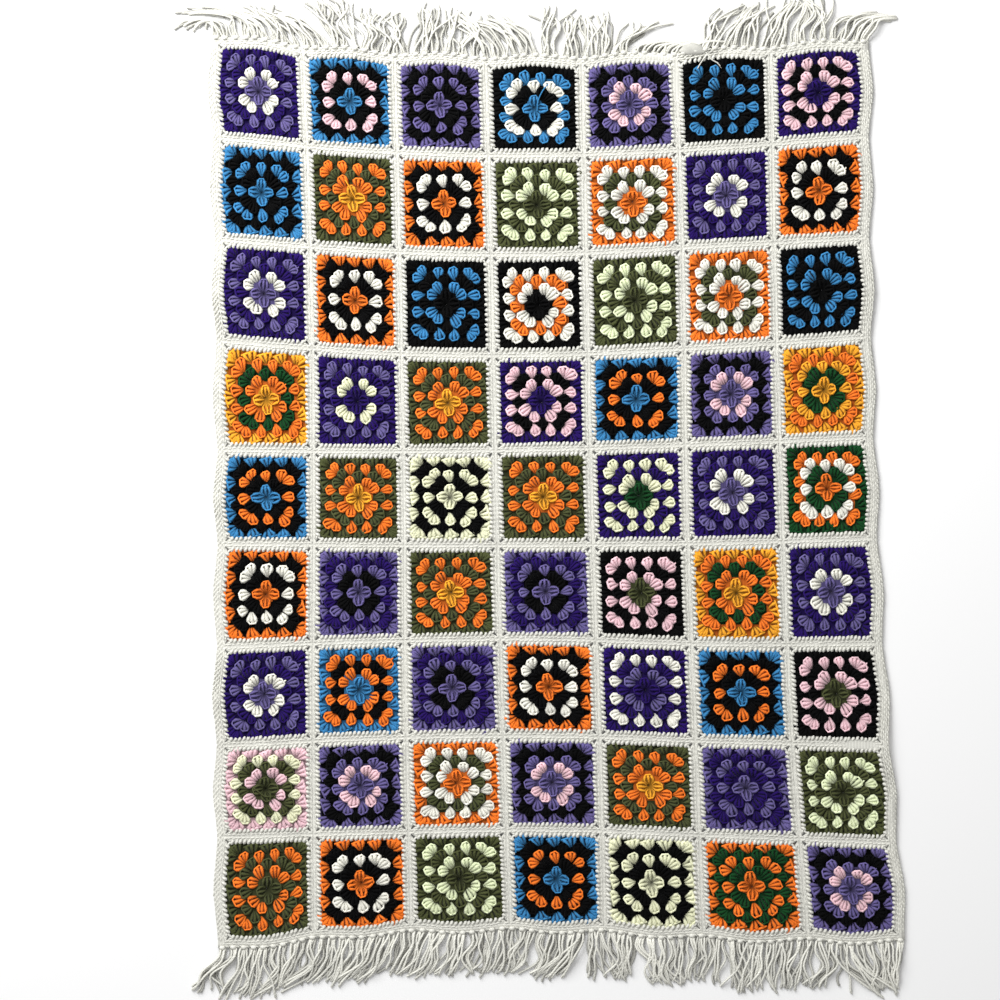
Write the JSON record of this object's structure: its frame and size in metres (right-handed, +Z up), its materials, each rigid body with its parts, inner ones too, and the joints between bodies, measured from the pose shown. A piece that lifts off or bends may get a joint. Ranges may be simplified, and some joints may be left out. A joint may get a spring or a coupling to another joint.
{
  "type": "granny square blanket",
  "caption": "Flat crochet blanket of joined granny squares with a light border and a knotted fringe along both short ends.",
  "frame": {"origin": "on the surface that the blanket lies on, under the middle of the whole piece with its fringe", "axes": "+Z up out of the cloth's right side, +Y along the length towards the head end, +X to the right"},
  "size_m": [1.0628, 1.4898, 0.0119],
  "materials": {
    "patchwork_yarn": "matt worsted acrylic yarn, crocheted in many colours",
    "ecru_yarn": "matt ecru worsted yarn, plied, slightly fuzzy"
  },
  "bodies": {
    "root": {"blanket": "patchwork_yarn", "fringe_head": "ecru_yarn", "fringe_foot": "ecru_yarn"}
  },
  "joints": []
}
